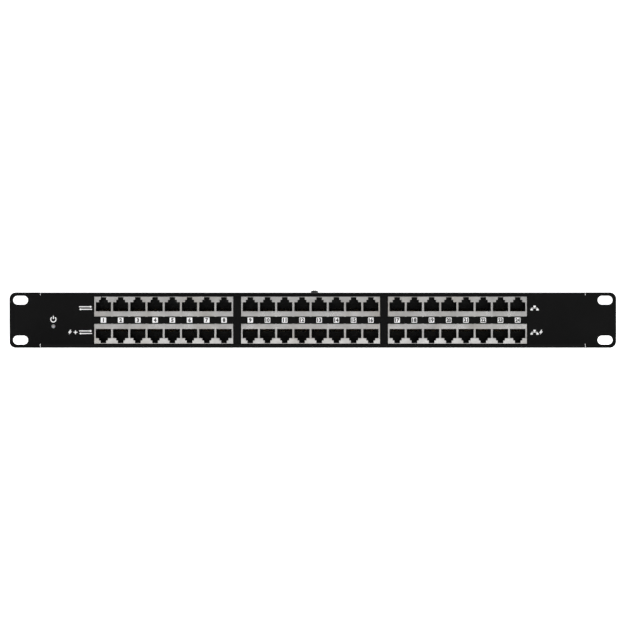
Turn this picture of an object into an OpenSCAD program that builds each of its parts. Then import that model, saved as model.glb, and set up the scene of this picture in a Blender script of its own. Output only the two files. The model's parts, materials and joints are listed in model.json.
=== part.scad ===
// Rack-mount patch panel, one unit high, that adds power to 24 data lines.
// Two rows of shielded jacks, three blocks of eight in each, look out of the front panel.
// Frame: X to the right seen from the front, Y to the rear, Z up. The origin is the centre
// of the four rack slots on the rear face of the ears.

/* [Front panel] */
// Width over the rack ears
panel_w = 482.6; // [476:0.1:600]
// Thickness of the panel sheet
panel_t = 1.5; // [1:0.1:2.4]
// Width of each ear beside the body
ear_w = 24.3; // [22:0.1:34]
// Outer corner radius of the ears
corner_r = 5; // [1:0.5:6]
// Inside radius of the bends at the top and bottom edge
bend_inner_r = 0.5; // [0.2:0.1:1.5]
// Depth of the returned flanges
flange_d = 15; // [12:0.5:24]

/* [Rack slots] */
// Slot centre to the panel's side edge
slot_inset = 8.75; // [8:0.05:11]
// Vertical distance between slot centres
slot_rise = 31.75; // [26:0.05:34]
// Slot length, end to end
slot_len = 12; // [8:0.5:14]
// Slot width
slot_w = 7; // [5:0.1:8]

/* [Casing] */
// Depth from the ears to the outside of the rear wall
body_d = 88; // [84:1:140]
// Thickness of the tray and cover sheet
sheet_t = 1; // [0.7:0.1:1.2]
// Height of the tray's side lips
lip_h = 14; // [11:0.5:18]
// Width of the flange on top of the rear wall
rear_flange_d = 10; // [8:0.5:14]
// Space between a jack shield and the sheet above or below it
jack_clearance = 0.85; // [0.7:0.05:5]

/* [Ports] */
// Blocks of jacks in each row
block_count = 3; // [1:1:3]
// Ports in one block
port_count = 8; // [2:1:8]
// Width of the shield between two ports
divider_w = 1.5; // [1.4:0.05:2.4]
// Space between two blocks
block_gap = 6.4; // [6:0.1:12]
// Shift of the port pattern from the panel's centre
pattern_shift = -1.8; // [-3:0.1:3]
// Clear height between the two rows of shields
row_gap = 6; // [5.2:0.1:9]
// Gap around a shield in its window
window_gap = 0.35; // [0.2:0.05:0.5]

/* [Jacks] */
// Shield beyond the opening's latch steps
cap_h = 0.3; // [0.3:0.05:6]
// Depth behind a port for the contacts' carrier and tails
tail_space = 8.1; // [7.8:0.1:16]
// How far a jack stands proud of the panel
jack_proud = 0.4; // [0:0.1:1]
// Thickness of the shield sheet
shield_t = 0.3; // [0.2:0.05:0.4]
// Width of a port opening
opening_w = 12.2; // [11.6:0.05:12.4]
// Height of the opening below its latch steps
opening_h = 7.3; // [6.8:0.05:7.6]
// Depth of a port
opening_d = 13; // [12.4:0.1:14]
// Shield below the opening, on the board side
band_h = 4; // [3.6:0.05:5]
// Width of the wide latch step
wide_step_w = 7.2; // [6.4:0.1:7.6]
// Height of the wide latch step
wide_step_h = 1.9; // [1.2:0.05:2]
// Width of the narrow latch step
narrow_step_w = 4.5; // [3.8:0.1:4.8]
// Height of the narrow latch step
narrow_step_h = 2.15; // [1.2:0.05:2.4]

/* [Boards] */
// Thickness of the circuit boards
board_t = 1.6; // [1:0.1:1.8]
// Depth of the two jack boards
board_d = 49.5; // [46:0.5:56]
// Margin of the jack boards beyond the outer blocks
board_margin = 6.5; // [6.5:0.1:10]
// Gap between the casing floor and the power inlet board
inlet_lift = 8; // [5:0.5:9]
// Place of the power inlet board, along the panel
inlet_x = -130; // [-150:1:140]

/* [Power plug] */
// Distance between the two poles
pole_pitch = 5.08; // [5:0.01:5.3]
// Rise of a clamp cage from open to shut
cage_rise = 2.2; // [1:0.1:2.2]
// Width of the plug body
plug_w = 11.2; // [10.8:0.1:12]
// Height of the plug body
plug_h = 15; // [14:0.1:18]

/* [Indicator] */
// Radius of the lamp
led_r = 1.5; // [1.5:0.1:2.5]
// Lamp centre to the side of the body
led_inset = 10.6; // [6:0.1:16]
// Lamp centre below the panel's centre line
led_drop = 4.9; // [4.4:0.1:8]

/* [Hidden] */
$fn = 48;
eps = 0.01;
fit = 0.05;

// Rows, blocks and ports
jack_h = band_h + opening_h + wide_step_h + narrow_step_h + cap_h;
jack_d = shield_t + opening_d + tail_space;
edge_margin = panel_t + sheet_t + jack_clearance;
port_pitch = opening_w + divider_w;
row_z = row_gap / 2;
jack_top = row_z + jack_h;
panel_h = 2 * (jack_top + edge_margin);
half_h = panel_h / 2;
bend_r = bend_inner_r + panel_t;
body_w = panel_w - 2 * ear_w;
half_body = body_w / 2;
end_wall = 0.4;
block_w = port_count * port_pitch + 2 * end_wall;
block_pitch = block_w + block_gap;
pattern_half = (block_count * block_pitch - block_gap) / 2;
face_y = -panel_t - jack_proud;

// Height of the surfaces that stack up
floor_z = -half_h + sheet_t;
flange_z = half_h - panel_t;
cover_z = flange_z - sheet_t;
jack_seat = 0.2;
board_z = row_z - jack_seat;
boards_gap = 2 * (board_z - board_t);
rear_y = body_d - sheet_t;

// Jack interior, measured from the panel's centre plane
opening_z = row_z + band_h;
opening_back = face_y + shield_t + opening_d;
pocket_z = opening_z - 1.45;
carrier_top = opening_z + 5;
carrier_back = opening_back + 3.9;
lip_back = face_y + 2.3;
contact_pitch = 1.02;
contact_t = 0.35;
contact_w = 0.5;
contact_rise = 2.05;
contact_count = 8;
tail_rows = [carrier_back + 0.9, carrier_back + 3.1];
tail_end = board_z - board_t - 0.7;
carrier_half = opening_w / 2 - 0.65;
pocket_half = carrier_half - 0.55;
slot_half = contact_pitch * (contact_count - 1) / 2 + contact_w + 0.13;
leg_rows = [face_y + 8, face_y + 18];
leg_w = 1.2;

// Jack boards and their fixings
board_left = pattern_shift - pattern_half - board_margin;
board_right = pattern_shift + pattern_half + board_margin;
board_front = 0.5;
board_back = board_front + board_d;
post_front = flange_d + 12;
gap_places = [for (i = [1 : 1 : block_count - 1]) block_x(i) - block_pitch / 2];
board_holes = concat(
    [for (x = [board_left + board_margin / 2, board_right - board_margin / 2])
        for (y = [post_front, board_back - 4]) [x, y]],
    [for (x = gap_places) [x, board_back - 4]]);
fuse_y = face_y + jack_d + 8;
link_y = board_back - 13;
link_pitch = 2.54;
link_pins = 2 * port_count;
link_pin_w = 0.64;

// Fasteners: M3 screws with pan and countersunk heads
screw_r = 1.45;
screw_hole_r = 1.5;
head_r = 2.8;
head_h = 1.9;
screw_tip = 0.5;
nut_r = 2.8;
nut_h = 1.5;
board_hole_r = 1.6;
post_r = 2.5;
spigot_r = 2.08;
press = 0.02;
top_screw_x = 1.3;
top_screw_y = flange_d / 2;
rear_screw_y = rear_y - rear_flange_d / 2;
side_screw_y = [18, body_d - 18];
side_screw_z = floor_z + lip_h - 6;
floor_screw_x = [-150, 0, 150];

// Power inlet
cover_bend = 1.5;
bend_gap = 0.5;
inlet_size = [52, 28];
inlet_z = floor_z + inlet_lift + board_t;
inlet_back = rear_y - 0.5;
inlet_front = inlet_back - inlet_size[1];
inlet_holes = [for (x = [-22.5, 22.5]) for (y = [inlet_front + 3.5, inlet_back - 5]) [inlet_x + x, y]];
dc_x = inlet_x - 12;
dc_size = [9, 14.2, 11];
dc_back = body_d + 0.5;
dc_bore_r = 3.2;
dc_bore_z = inlet_z + 6.5;
dc_bore_d = 9.5;
dc_pin_r = 1;
header_x = inlet_x + 8;
header_size = [12, 8.6];
header_wall = 0.8;
header_front = rear_y - 11;
header_back = body_d + 1;
header_gap = 0.3;
header_pin_w = 1;
pin_z = inlet_z + header_size[1] / 2;
pin_tail_y = header_front - 1.5;
poles = [-pole_pitch / 2, pole_pitch / 2];
window_clear = 0.4;
capacitor_place = [inlet_x + 21.5, inlet_front + 12.5];
capacitor_r = 4;
capacitor_h = 11.5;
wire_r = 1;
wire_bend = 4;
wire_x = [inlet_x - 4, inlet_x + 4];
wire_start_y = inlet_front + 4;
wire_end_y = board_back - 8;
wire_top_z = board_z + 8;

// Plug that pushes into the header
plug_front = header_back + header_gap;
plug_d = 10;
plug_back = plug_front + plug_d;
plug_floor = pin_z - 4.5;
plug_top = plug_floor + plug_h;
nose_front = header_front + 3;
channel_half = 1.1;
leaf_t = 0.5;
leaf_z = pin_z + 0.7;
chamber = [4, 5.6];
chamber_front = plug_front + 2.2;
chamber_floor = plug_floor + 1.1;
cage = [3.8, 4];
cage_front = chamber_front + 0.8;
cage_window_w = 2.6;
cage_floor_t = 0.8;
cage_top_t = 1.2;
cage_z = chamber_floor + 0.3;
cage_window_top = leaf_z + leaf_t + 0.3;
cage_top = cage_window_top + cage_top_t;
chamber_top = cage_top + cage_rise + 0.3;
clamp_y = cage_front + cage[1] / 2;
clamp_screw_r = 1.2;
clamp_head_r = 1.8;
clamp_seat = chamber_top + 1.3;
clamp_head_h = 2;
entry_r = 1.5;
entry_z = leaf_z - 1.5;

// Earth screw and lamp
earth_x = header_x + 62;
earth_z = inlet_z + 6;
earth_screw_r = 1.95;
earth_hole_r = 2;
earth_nut_h = 2.4;
washer_t = 0.9;
led_x = -half_body + led_inset;
led_z = -led_drop;
led_flange_r = led_r + 0.4;
lead_gap = 2.54;
lead_end = 14;
led_wire_r = 0.55;
led_bend = 3;
led_wire_end = board_left + 4;
led_rise = led_drop - board_z;

rows = ["upper", "lower"];
jack_parts = ["shield", "housing", "carriers", "contacts"];
JACKS = [for (p = jack_parts) for (r = rows) for (i = [1 : block_count]) str("jack_", p, "_", r, "_", i)];

function block_x(i) = pattern_shift + (i - (block_count - 1) / 2) * block_pitch;
function port_x(i) = (i - (port_count - 1) / 2) * port_pitch;
function contact_x(i) = (i - (contact_count - 1) / 2) * contact_pitch;
function unit(v) = v / norm(v);
function left_of(v) = [-v[1], v[0]];

// Offset point of a strip of thickness t at point i of a path, on the side that s gives
function strip_point(p, i, s, t) =
    let (n = len(p),
         before = left_of(unit(p[max(i, 1)] - p[max(i, 1) - 1])),
         after = left_of(unit(p[min(i + 1, n - 1)] - p[min(i + 1, n - 1) - 1])),
         m = unit(before + after))
    p[i] + s * m * (t / 2) / (m * after);
function strip(p, t) = concat(
    [for (i = [0 : len(p) - 1]) strip_point(p, i, 1, t)],
    [for (i = [len(p) - 1 : -1 : 0]) strip_point(p, i, -1, t)]);

// Box between two corners
module block(lo, hi) {
    translate(lo) cube(hi - lo);
}

// Rod along Y from a point
module rod_y(at, r, length) {
    translate(at) rotate([-90, 0, 0]) cylinder(r = r, h = length);
}

// Outline in X and Z, extruded along Y from y to y + depth
module slice(y, depth) {
    translate([0, y + depth, 0]) rotate([90, 0, 0]) linear_extrude(depth) children();
}

// Outline in Y and Z, extruded along X over a width centred on x
module sweep_x(x, width) {
    translate([x - width / 2, 0, 0]) rotate([90, 0, 90]) linear_extrude(width) children();
}

// Quarter bend of a wire about the Z axis, from the X axis to the Y axis
module elbow(radius, r) {
    rotate_extrude(angle = 90) translate([radius, 0]) circle(r);
}

module screw_recess(depth) {
    for (a = [0, 90])
        rotate([0, 0, a]) translate([-1.5, -0.35, -depth]) cube([3, 0.7, depth + 1]);
}

// Screw along -Z with its head's underside at the origin
module pan_screw(length, r = screw_r, head = head_r, height = head_h) {
    difference() {
        union() {
            translate([0, 0, -length]) cylinder(r = r, h = length + eps);
            rotate_extrude() intersection() {
                translate([0, height - 2 * head]) circle(2 * head);
                square([head, height]);
            }
        }
        translate([0, 0, height]) screw_recess(1.1);
    }
}

// Countersunk screw along -Z with its flat top at the origin
module flat_screw(length) {
    difference() {
        union() {
            translate([0, 0, -length]) cylinder(r = screw_r, h = length);
            translate([0, 0, -sheet_t]) cylinder(r1 = screw_r, r2 = screw_r + sheet_t, h = sheet_t);
        }
        screw_recess(0.8);
    }
}

// Nut pressed into the sheet, with its bore and height given
module clinch_nut(hole = screw_hole_r, height = nut_h, r = nut_r) {
    difference() {
        cylinder(r = r, h = height);
        translate([0, 0, -1]) cylinder(r = hole, h = height + 2);
    }
}

// ---- Casing ----

module ear_outline() {
    difference() {
        plate_outline();
        for (side = [-1, 1])
            for (z = [-slot_rise / 2, slot_rise / 2])
                translate([side * (panel_w / 2 - slot_inset), z]) slot_outline();
    }
}

// Rectangle over both ears with round outer corners
module plate_outline() {
    square([panel_w - 2 * corner_r, panel_h], center = true);
    square([panel_w, panel_h - 2 * corner_r], center = true);
    for (x = [-1, 1])
        for (z = [-1, 1])
            translate([x * (panel_w / 2 - corner_r), z * (half_h - corner_r)]) circle(corner_r);
}

module slot_outline() {
    square([slot_len - slot_w, slot_w], center = true);
    for (x = [-1, 1])
        translate([x * (slot_len - slot_w) / 2, 0]) circle(slot_w / 2);
}

// Section of the body part of the panel: face, two bends and two flanges
module channel_section() {
    difference() {
        union() {
            translate([-panel_t, floor_z + bend_r]) square([bend_r, half_h - floor_z - 2 * bend_r]);
            translate([bend_inner_r, floor_z]) square([flange_d - bend_inner_r, half_h - floor_z]);
            for (z = [floor_z + bend_r, half_h - bend_r])
                translate([bend_inner_r, z]) circle(bend_r);
        }
        translate([bend_inner_r, floor_z + panel_t])
            square([flange_d, half_h - floor_z - 2 * panel_t]);
        translate([0, floor_z + bend_r])
            square([flange_d, half_h - floor_z - 2 * bend_r]);
        for (z = [floor_z + bend_r, half_h - bend_r])
            translate([bend_inner_r, z]) circle(bend_inner_r);
    }
}

module port_windows() {
    for (i = [0 : block_count - 1])
        for (z = [row_z, -jack_top])
            translate([block_x(i) - block_w / 2 - window_gap, -panel_t - 1, z - window_gap])
                cube([block_w + 2 * window_gap, panel_t + 2, jack_h + 2 * window_gap]);
}

module front_panel() {
    relief_w = 0.4;
    relief_d = bend_r + 0.1;
    color("#1b1b1c") difference() {
        union() {
            difference() {
                slice(-panel_t, panel_t) ear_outline();
                block([-half_body, -panel_t - 1, -half_h - 1], [half_body, 1, half_h + 1]);
            }
            sweep_x(0, body_w) channel_section();
        }
        port_windows();
        rod_y([led_x, -panel_t - 1, led_z], led_r + 0.1, panel_t + 2);
        for (x = [-half_body, half_body - relief_w]) {
            block([x, -panel_t - 1, half_h - relief_d], [x + relief_w, 1, half_h + 1]);
            block([x, -panel_t - 1, -half_h - 1], [x + relief_w, 1, floor_z + relief_d]);
        }
        translate([top_screw_x, top_screw_y, flange_z - 1]) cylinder(r = screw_hole_r, h = panel_t + 2);
        for (x = floor_screw_x)
            translate([x, flange_d / 2, floor_z - 1]) cylinder(r = screw_hole_r, h = panel_t + 2);
    }
}

module base_tray() {
    side = half_body - sheet_t - fit;
    wall_top = cover_z - sheet_t;
    color("#1a1a1b") difference() {
        union() {
            block([-side, bend_inner_r + bend_gap, -half_h], [side, body_d, floor_z]);
            block([-half_body, bend_inner_r + bend_gap, -half_h],
                  [half_body, flange_d + 1 - bend_gap, floor_z]);
            block([cover_bend - half_body, rear_y, floor_z], [half_body - cover_bend, body_d, cover_z]);
            block([-side + 8, rear_y - rear_flange_d, wall_top], [side - 8, rear_y, cover_z]);
            for (s = [-1, 1])
                block([s > 0 ? side - sheet_t : -side, flange_d + 1, floor_z],
                      [s > 0 ? side : -side + sheet_t, rear_y - 2, floor_z + lip_h]);
        }
        for (p = board_holes)
            translate([p[0], p[1], -half_h - 1]) cylinder(r = spigot_r + press, h = sheet_t + 2);
        for (p = inlet_holes)
            translate([p[0], p[1], -half_h - 1]) cylinder(r = spigot_r + press, h = sheet_t + 2);
        for (x = floor_screw_x)
            translate([x, flange_d / 2, -half_h])
                cylinder(r1 = screw_r + sheet_t + fit, r2 = screw_r + fit, h = sheet_t);
        for (x = floor_screw_x)
            translate([x, flange_d / 2, -half_h - 1]) cylinder(r = screw_hole_r, h = sheet_t + 2);
        for (s = [-1, 1])
            for (y = side_screw_y)
                translate([s * side, y, side_screw_z]) rotate([0, 90, 0])
                    cylinder(r = screw_hole_r, h = 4, center = true);
        translate([0, rear_screw_y, wall_top - 1]) cylinder(r = screw_hole_r, h = sheet_t + 2);
        block([dc_x - dc_size[0] / 2 - window_clear, rear_y - 1, inlet_z - 0.6],
              [dc_x + dc_size[0] / 2 + window_clear, body_d + 1, inlet_z + dc_size[2] + window_clear]);
        block([header_x - header_size[0] / 2 - window_clear, rear_y - 1, inlet_z - 0.6],
              [header_x + header_size[0] / 2 + window_clear, body_d + 1,
               inlet_z + header_size[1] + window_clear]);
        rod_y([earth_x, rear_y - 1, earth_z], earth_hole_r, sheet_t + 2);
    }
}

// Section of the cover: top sheet and two side walls with round bends
module cover_section(inset) {
    r = cover_bend - inset;
    w = half_body - inset;
    top = flange_z - inset;
    translate([-w, -half_h]) square([2 * w, top - r + half_h]);
    translate([-w + r, -half_h]) square([2 * w - 2 * r, top + half_h]);
    for (x = [-w + r, w - r]) translate([x, top - r]) circle(r);
}

module top_cover() {
    front = bend_inner_r + bend_gap;
    color("#1c1c1d") difference() {
        slice(front, body_d - front) difference() {
            cover_section(0);
            cover_section(sheet_t);
            translate([-half_body, -half_h - 1]) square([body_w, 1.4]);
        }
        // The side walls stop above the panel's lower flange
        block([-half_body - 1, 0, -half_h - 1], [half_body + 1, flange_d + 1, floor_z + panel_t + 0.3]);
        translate([top_screw_x, top_screw_y, cover_z - 1]) cylinder(r = screw_hole_r, h = sheet_t + 2);
        translate([0, rear_screw_y, cover_z - 1]) cylinder(r = screw_hole_r, h = sheet_t + 2);
        for (s = [-1, 1])
            for (y = side_screw_y)
                translate([s * half_body, y, side_screw_z]) rotate([0, 90, 0])
                    cylinder(r = screw_hole_r, h = 4, center = true);
    }
}

module at_side_screws() {
    for (s = [0, 180])
        for (y = side_screw_y)
            translate([s == 0 ? half_body : -half_body, y, side_screw_z]) rotate([0, s == 0 ? 90 : -90, 0])
                children();
}

module cover_screws() {
    color("#2b2b2d") {
        translate([top_screw_x, top_screw_y, half_h]) pan_screw(panel_t + sheet_t + screw_tip);
        translate([0, rear_screw_y, flange_z]) pan_screw(2 * sheet_t + nut_h);
        at_side_screws() pan_screw(2 * sheet_t + nut_h);
    }
}

module floor_screws() {
    color("#2b2b2d") for (x = floor_screw_x)
        translate([x, flange_d / 2, -half_h]) rotate([180, 0, 0])
            flat_screw(sheet_t + panel_t + screw_tip);
}

module clinch_nuts() {
    color("silver") {
        translate([0, rear_screw_y, cover_z - sheet_t - nut_h]) clinch_nut();
        at_side_screws() translate([0, 0, -2 * sheet_t - fit - nut_h]) clinch_nut();
        translate([earth_x, rear_y - earth_nut_h, earth_z]) rotate([-90, 0, 0])
            clinch_nut(earth_hole_r, earth_nut_h, 3.9);
    }
}

// ---- Jacks: all modules draw the upper row, and the lower row is its mirror image ----

module port_outline() {
    translate([-opening_w / 2, opening_z]) square([opening_w, opening_h]);
    translate([-wide_step_w / 2, opening_z]) square([wide_step_w, opening_h + wide_step_h]);
    translate([-narrow_step_w / 2, opening_z])
        square([narrow_step_w, opening_h + wide_step_h + narrow_step_h]);
}

module at_ports() {
    for (i = [0 : port_count - 1]) translate([port_x(i), 0, 0]) children();
}

module jack_shield() {
    half = block_w / 2;
    back = face_y + jack_d;
    color("#c4c4bf") {
        difference() {
            block([-half, face_y, row_z], [half, back, jack_top]);
            block([-half + shield_t, face_y + shield_t, row_z - 1],
                  [half - shield_t, back - shield_t, jack_top - shield_t]);
            at_ports() slice(face_y - 1, 2) port_outline();
        }
        for (s = [-1, 1])
            for (y = leg_rows)
                block([s > 0 ? half - shield_t : -half, y - leg_w / 2, board_z - board_t - 0.6],
                      [s > 0 ? half : -half + shield_t, y + leg_w / 2, row_z]);
        for (i = [1 : port_count - 1])
            translate([port_x(i) - port_pitch / 2 - 0.8, face_y, row_z - 0.25]) cube([1.6, shield_t, 0.25]);
    }
}

module jack_housing() {
    half = block_w / 2 - shield_t - fit;
    front = face_y + shield_t;
    back = face_y + jack_d - shield_t - fit;
    color("#141415") difference() {
        block([-half, front, board_z], [half, back, jack_top - shield_t - fit]);
        at_ports() {
            slice(front - 1, opening_d + 1) port_outline();
            block([-pocket_half, lip_back, pocket_z], [pocket_half, opening_back + 1, opening_z + 1]);
            block([-carrier_half, opening_back - eps, pocket_z], [carrier_half, back + 1, carrier_top]);
            block([-carrier_half, carrier_back, board_z - 1], [carrier_half, back + 1, pocket_z + 1]);
        }
    }
}

module jack_carriers() {
    color("#1d1d1f") at_ports() difference() {
        block([fit - carrier_half, opening_back + fit, pocket_z],
              [carrier_half - fit, carrier_back, carrier_top - fit]);
        block([-slot_half, opening_back - 1, pocket_z - 1],
              [slot_half, carrier_back + 1, pocket_z + contact_t + 0.25]);
    }
}

// Spring contact: tail through the board, run along the pocket and a sprung beam up into the port
module jack_contacts() {
    run_z = pocket_z + contact_t / 2;
    tip_z = opening_z + contact_rise - contact_t / 2;
    color("gold") at_ports() for (i = [0 : contact_count - 1])
        sweep_x(contact_x(i), contact_w)
            polygon(strip([
                [tail_rows[i % 2], tail_end],
                [tail_rows[i % 2], run_z],
                [lip_back + 0.9, run_z],
                [lip_back + 0.4, run_z + 0.33],
                [lip_back + 0.9, run_z + 0.66],
                [opening_back - 0.8, tip_z]], contact_t));
}

module jack_part(kind) {
    if (kind == "shield") jack_shield();
    if (kind == "housing") jack_housing();
    if (kind == "carriers") jack_carriers();
    if (kind == "contacts") jack_contacts();
}

// ---- Boards ----

// Board outline in X and Y with every hole that the jacks, links and screws of one board need
module jack_board_outline() {
    difference() {
        translate([board_left, board_front]) square([board_right - board_left, board_d]);
        for (p = board_holes) translate(p) circle(board_hole_r);
        for (b = [0 : block_count - 1]) translate([block_x(b), 0]) {
            for (k = [0 : port_count - 1])
                for (i = [0 : contact_count - 1])
                    translate([port_x(k) + contact_x(i), tail_rows[i % 2]]) circle(0.45);
            for (s = [-1, 1])
                for (y = leg_rows)
                    translate([s * (block_w - shield_t) / 2, y]) square([0.9, leg_w + 0.6], center = true);
            at_link_pins() circle(0.5);
        }
    }
}

module at_link_pins() {
    for (i = [0 : link_pins - 1])
        for (j = [0, 1])
            translate([(i - (link_pins - 1) / 2) * link_pitch, link_y + (j - 0.5) * link_pitch]) children();
}

module jack_board(z) {
    color("#1f5c3a") translate([0, 0, z]) linear_extrude(board_t) jack_board_outline();
}

module board_posts() {
    rise = -board_z - floor_z;
    color("#c9a64a") for (p = board_holes) translate([p[0], p[1], floor_z]) difference() {
        union() {
            cylinder(r = post_r, h = rise);
            translate([0, 0, -sheet_t]) cylinder(r = spigot_r, h = sheet_t + eps);
        }
        translate([0, 0, rise - 8]) cylinder(r = screw_hole_r, h = 9);
    }
}

module board_spacers() {
    color("#e8e4d8") for (p = board_holes) translate([p[0], p[1], -boards_gap / 2]) difference() {
        cylinder(r = post_r, h = boards_gap);
        translate([0, 0, -1]) cylinder(r = board_hole_r, h = boards_gap + 2);
    }
}

module board_screws() {
    color("silver") for (p = board_holes)
        translate([p[0], p[1], board_z]) pan_screw(2 * board_z + 6);
}

module link_headers() {
    half = link_pins * link_pitch / 2;
    color("#161616") for (b = [0 : block_count - 1])
        translate([block_x(b), 0, -boards_gap / 2]) linear_extrude(boards_gap) difference() {
            translate([-half, link_y - link_pitch]) square([2 * half, 2 * link_pitch]);
            at_link_pins() square(link_pin_w, center = true);
        }
}

module link_pins() {
    rise = board_z + 0.9;
    color("gold") for (b = [0 : block_count - 1])
        translate([block_x(b), 0, -rise]) linear_extrude(2 * rise)
            at_link_pins() square(link_pin_w, center = true);
}

module port_fuses() {
    size = [4.6, 3.2, 1.1];
    color("#3c6b4a") for (b = [0 : block_count - 1])
        for (k = [0 : port_count - 1])
            translate([block_x(b) + port_x(k) - size[0] / 2, fuse_y - size[1] / 2, board_z]) cube(size);
}

// ---- Power inlet ----

module inlet_board() {
    color("#1f5c3a") difference() {
        block([inlet_x - inlet_size[0] / 2, inlet_front, inlet_z - board_t],
              [inlet_x + inlet_size[0] / 2, inlet_back, inlet_z]);
        for (p = inlet_holes)
            translate([p[0], p[1], inlet_z - board_t - 1]) cylinder(r = board_hole_r, h = board_t + 2);
        for (x = poles)
            translate([header_x + x, pin_tail_y, inlet_z - board_t - 1]) cylinder(r = 0.8, h = board_t + 2);
        for (y = dc_tail_rows())
            translate([dc_x - 1.3, y - 0.6, inlet_z - board_t - 1]) cube([2.6, 1.2, board_t + 2]);
    }
}

function dc_tail_rows() = [dc_back - dc_size[1] + 1, dc_back - dc_size[1] + 7];

module inlet_posts() {
    color("#c9a64a") for (p = inlet_holes) translate([p[0], p[1], floor_z]) difference() {
        union() {
            cylinder(r = post_r, h = inlet_lift);
            translate([0, 0, -sheet_t]) cylinder(r = spigot_r, h = sheet_t + eps);
        }
        translate([0, 0, inlet_lift - 4.2]) cylinder(r = screw_hole_r, h = 5);
    }
}

module inlet_screws() {
    color("silver") for (p = inlet_holes)
        translate([p[0], p[1], inlet_z]) pan_screw(board_t + 4);
}

module input_capacitor() {
    color("#26262e") translate([capacitor_place[0], capacitor_place[1], inlet_z]) difference() {
        cylinder(r = capacitor_r, h = capacitor_h);
        translate([0, 0, 1.6]) rotate_extrude() translate([capacitor_r + 0.15, 0]) circle(0.4);
    }
}

module dc_jack_body() {
    front = dc_back - dc_size[1];
    color("#151516") difference() {
        block([dc_x - dc_size[0] / 2, front, inlet_z], [dc_x + dc_size[0] / 2, dc_back, inlet_z + dc_size[2]]);
        rod_y([dc_x, dc_back - dc_bore_d, dc_bore_z], dc_bore_r, dc_bore_d + 1);
        rod_y([dc_x, front + 2, dc_bore_z], dc_pin_r, dc_size[1]);
        for (y = dc_tail_rows())
            translate([dc_x - 1, y - 0.3, inlet_z - 1]) cube([2, 0.6, 2.5]);
    }
}

module dc_jack_contacts() {
    front = dc_back - dc_size[1];
    color("silver") {
        rod_y([dc_x, front + 2, dc_bore_z], dc_pin_r, dc_size[1] - 2.6);
        for (y = dc_tail_rows())
            translate([dc_x - 1, y - 0.3, inlet_z - board_t - 1.2]) cube([2, 0.6, board_t + 2.7]);
    }
}

module terminal_header() {
    half = header_size[0] / 2;
    color("#2f8f4e") difference() {
        block([header_x - half, header_front, inlet_z], [header_x + half, header_back, inlet_z + header_size[1]]);
        block([header_x - half + header_wall, header_front + 2.5, inlet_z + header_wall],
              [header_x + half - header_wall, header_back + 1, inlet_z + header_size[1] - header_wall]);
        for (x = poles)
            translate([header_x + x - header_pin_w / 2, header_front - 1, pin_z - header_pin_w / 2])
                cube([header_pin_w, 5, header_pin_w]);
    }
}

module header_pins() {
    color("silver") for (x = poles) translate([header_x + x, 0, 0]) sweep_x(0, header_pin_w)
        polygon([
            [pin_tail_y - header_pin_w / 2, inlet_z - board_t - 1.4],
            [pin_tail_y + header_pin_w / 2, inlet_z - board_t - 1.4],
            [pin_tail_y + header_pin_w / 2, pin_z - header_pin_w / 2],
            [header_back - 1.5, pin_z - header_pin_w / 2],
            [header_back - 1.5, pin_z + header_pin_w / 2],
            [pin_tail_y - header_pin_w / 2, pin_z + header_pin_w / 2]]);
}

// Plug body: a nose that enters the header and a chamber for each clamp
module terminal_plug() {
    nose_half = header_size[0] / 2 - header_wall - header_gap;
    nose_low = inlet_z + header_wall + header_gap;
    nose_high = inlet_z + header_size[1] - header_wall - header_gap;
    color("#35a35a") difference() {
        union() {
            block([header_x - plug_w / 2, plug_front, plug_floor], [header_x + plug_w / 2, plug_back, plug_top]);
            block([header_x - nose_half, nose_front, nose_low], [header_x + nose_half, plug_front + eps, nose_high]);
        }
        for (x = poles) translate([header_x + x, 0, 0]) {
            block([-channel_half, nose_front - 1, contact_floor()],
                  [channel_half, chamber_front + eps, leaf_z + leaf_t]);
            block([-chamber[0] / 2, chamber_front, chamber_floor],
                  [chamber[0] / 2, chamber_front + chamber[1], chamber_top]);
            rod_y([0, chamber_front + 1, entry_z], entry_r, plug_d);
            translate([0, clamp_y, chamber_top - 1]) cylinder(r = clamp_screw_r + 0.1, h = 4);
            translate([0, clamp_y, clamp_seat]) cylinder(r = clamp_head_r + 0.3, h = plug_h);
        }
    }
}

function contact_floor() = pin_z - 0.7 - leaf_t;

// Fork that grips the header pin and runs on as the tongue inside the cage
module plug_contacts() {
    wall_y = plug_front - 0.2;
    color("silver") for (x = poles) translate([header_x + x, 0, 0])
        sweep_x(0, 2 * channel_half) polygon([
            [nose_front + 0.5, leaf_z + leaf_t],
            [nose_front + 0.5, leaf_z],
            [wall_y, leaf_z],
            [wall_y, contact_floor() + leaf_t],
            [nose_front + 0.5, contact_floor() + leaf_t],
            [nose_front + 0.5, contact_floor()],
            [wall_y + 0.6, contact_floor()],
            [wall_y + 0.6, leaf_z],
            [cage_front + cage[1] + 0.6, leaf_z],
            [cage_front + cage[1] + 0.6, leaf_z + leaf_t]]);
}

module clamp_screw(x) {
    color("silver") translate([header_x + x, clamp_y, clamp_seat + fit]) difference() {
        union() {
            cylinder(r = clamp_head_r, h = clamp_head_h);
            translate([0, 0, -(clamp_seat + fit - cage_top + cage_top_t - 0.2)])
                cylinder(r = clamp_screw_r, h = clamp_seat + fit - cage_top + cage_top_t);
        }
        translate([-3, -0.35, clamp_head_h - 0.9]) cube([6, 0.7, 2]);
    }
}

module clamp_cage(x) {
    color("#d8d8da") translate([header_x + x, 0, 0]) difference() {
        block([-cage[0] / 2, cage_front, cage_z], [cage[0] / 2, cage_front + cage[1], cage_top]);
        block([-cage_window_w / 2, cage_front - 1, cage_z + cage_floor_t],
              [cage_window_w / 2, cage_front + cage[1] + 1, cage_window_top]);
        translate([0, clamp_y, cage_window_top - 1]) cylinder(r = clamp_screw_r + fit, h = cage_top_t + 2);
    }
}

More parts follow.
